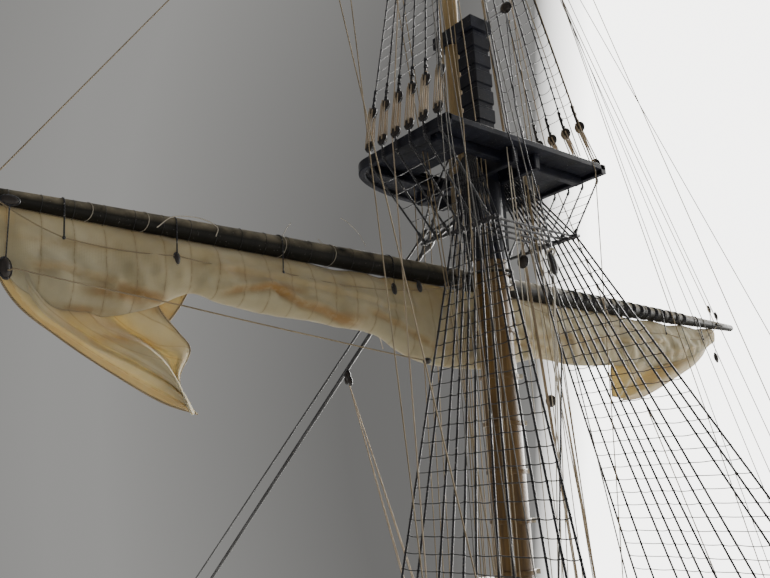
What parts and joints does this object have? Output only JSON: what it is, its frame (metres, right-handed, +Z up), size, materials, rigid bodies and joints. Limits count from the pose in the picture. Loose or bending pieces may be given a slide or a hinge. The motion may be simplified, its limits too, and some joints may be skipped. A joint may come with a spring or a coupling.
{
  "type": "main mast of a sailing ship model",
  "caption": "Main mast of a square-rigged ship model with top, topmast, yards, hauled-up course, shrouds, channels and stays; each yard swings about its mast.",
  "frame": {"origin": "centre of the flat heel of the lower mast", "axes": "+X towards the bow, +Y to port, +Z up along the mast"},
  "size_m": [0.427, 0.406, 0.7421],
  "materials": {
    "varnished_mast": "satin",
    "black_paint": "semi-gloss",
    "pale_wood": "satin",
    "deck_wood": "matte",
    "dark_spar": "satin",
    "tarred_rope": "waxed",
    "sailcloth": "matte"
  },
  "bodies": {
    "mast": {"lower_mast": "varnished_mast", "masthead": "black_paint", "top_frame": "black_paint", "top_platform": "black_paint", "lower_cap": "black_paint", "topmast": "pale_wood", "topmast_crosstrees": "black_paint", "topmast_cap": "black_paint", "topgallant_mast": "pale_wood", "mast_truck": "black_paint", "mast_partners": "deck_wood", "fore_bitts": "deck_wood", "aft_bitts": "deck_wood", "port_shrouds": "tarred_rope", "starboard_shrouds": "tarred_rope", "port_channel": "black_paint", "starboard_channel": "black_paint", "port_futtock_shrouds": "tarred_rope", "starboard_futtock_shrouds": "tarred_rope", "catharpin_1": "tarred_rope", "catharpin_2": "tarred_rope", "catharpin_3": "tarred_rope", "catharpin_4": "tarred_rope", "port_topmast_shrouds": "tarred_rope", "starboard_topmast_shrouds": "tarred_rope", "port_topgallant_shrouds": "tarred_rope", "starboard_topgallant_shrouds": "tarred_rope", "main_stay": "tarred_rope", "preventer_stay": "tarred_rope", "main_yard_sling": "tarred_rope"},
    "main_yard": {"main_yard": "dark_spar", "main_course": "sailcloth"},
    "topsail_yard": {"topsail_yard": "dark_spar"},
    "topgallant_yard": {"topgallant_yard": "dark_spar"},
    "royal_yard": {"royal_yard": "dark_spar"}
  },
  "joints": [
    {"name": "main_yard_swing", "type": "hinge", "parent": "mast", "child": "main_yard", "pos_m": [0, 0, 0.252], "axis": [0, 0, 1], "range_deg": [-15, 15]},
    {"name": "topsail_yard_swing", "type": "hinge", "parent": "mast", "child": "topsail_yard", "pos_m": [0.01264, 0, 0.498], "axis": [0, 0, 1], "range_deg": [-15, 15]},
    {"name": "topgallant_yard_swing", "type": "hinge", "parent": "mast", "child": "topgallant_yard", "pos_m": [0.0174, 0, 0.61], "axis": [0, 0, 1], "range_deg": [-15, 15]},
    {"name": "royal_yard_swing", "type": "hinge", "parent": "mast", "child": "royal_yard", "pos_m": [0.0174, 0, 0.685], "axis": [0, 0, 1], "range_deg": [-20, 20]}
  ]
}
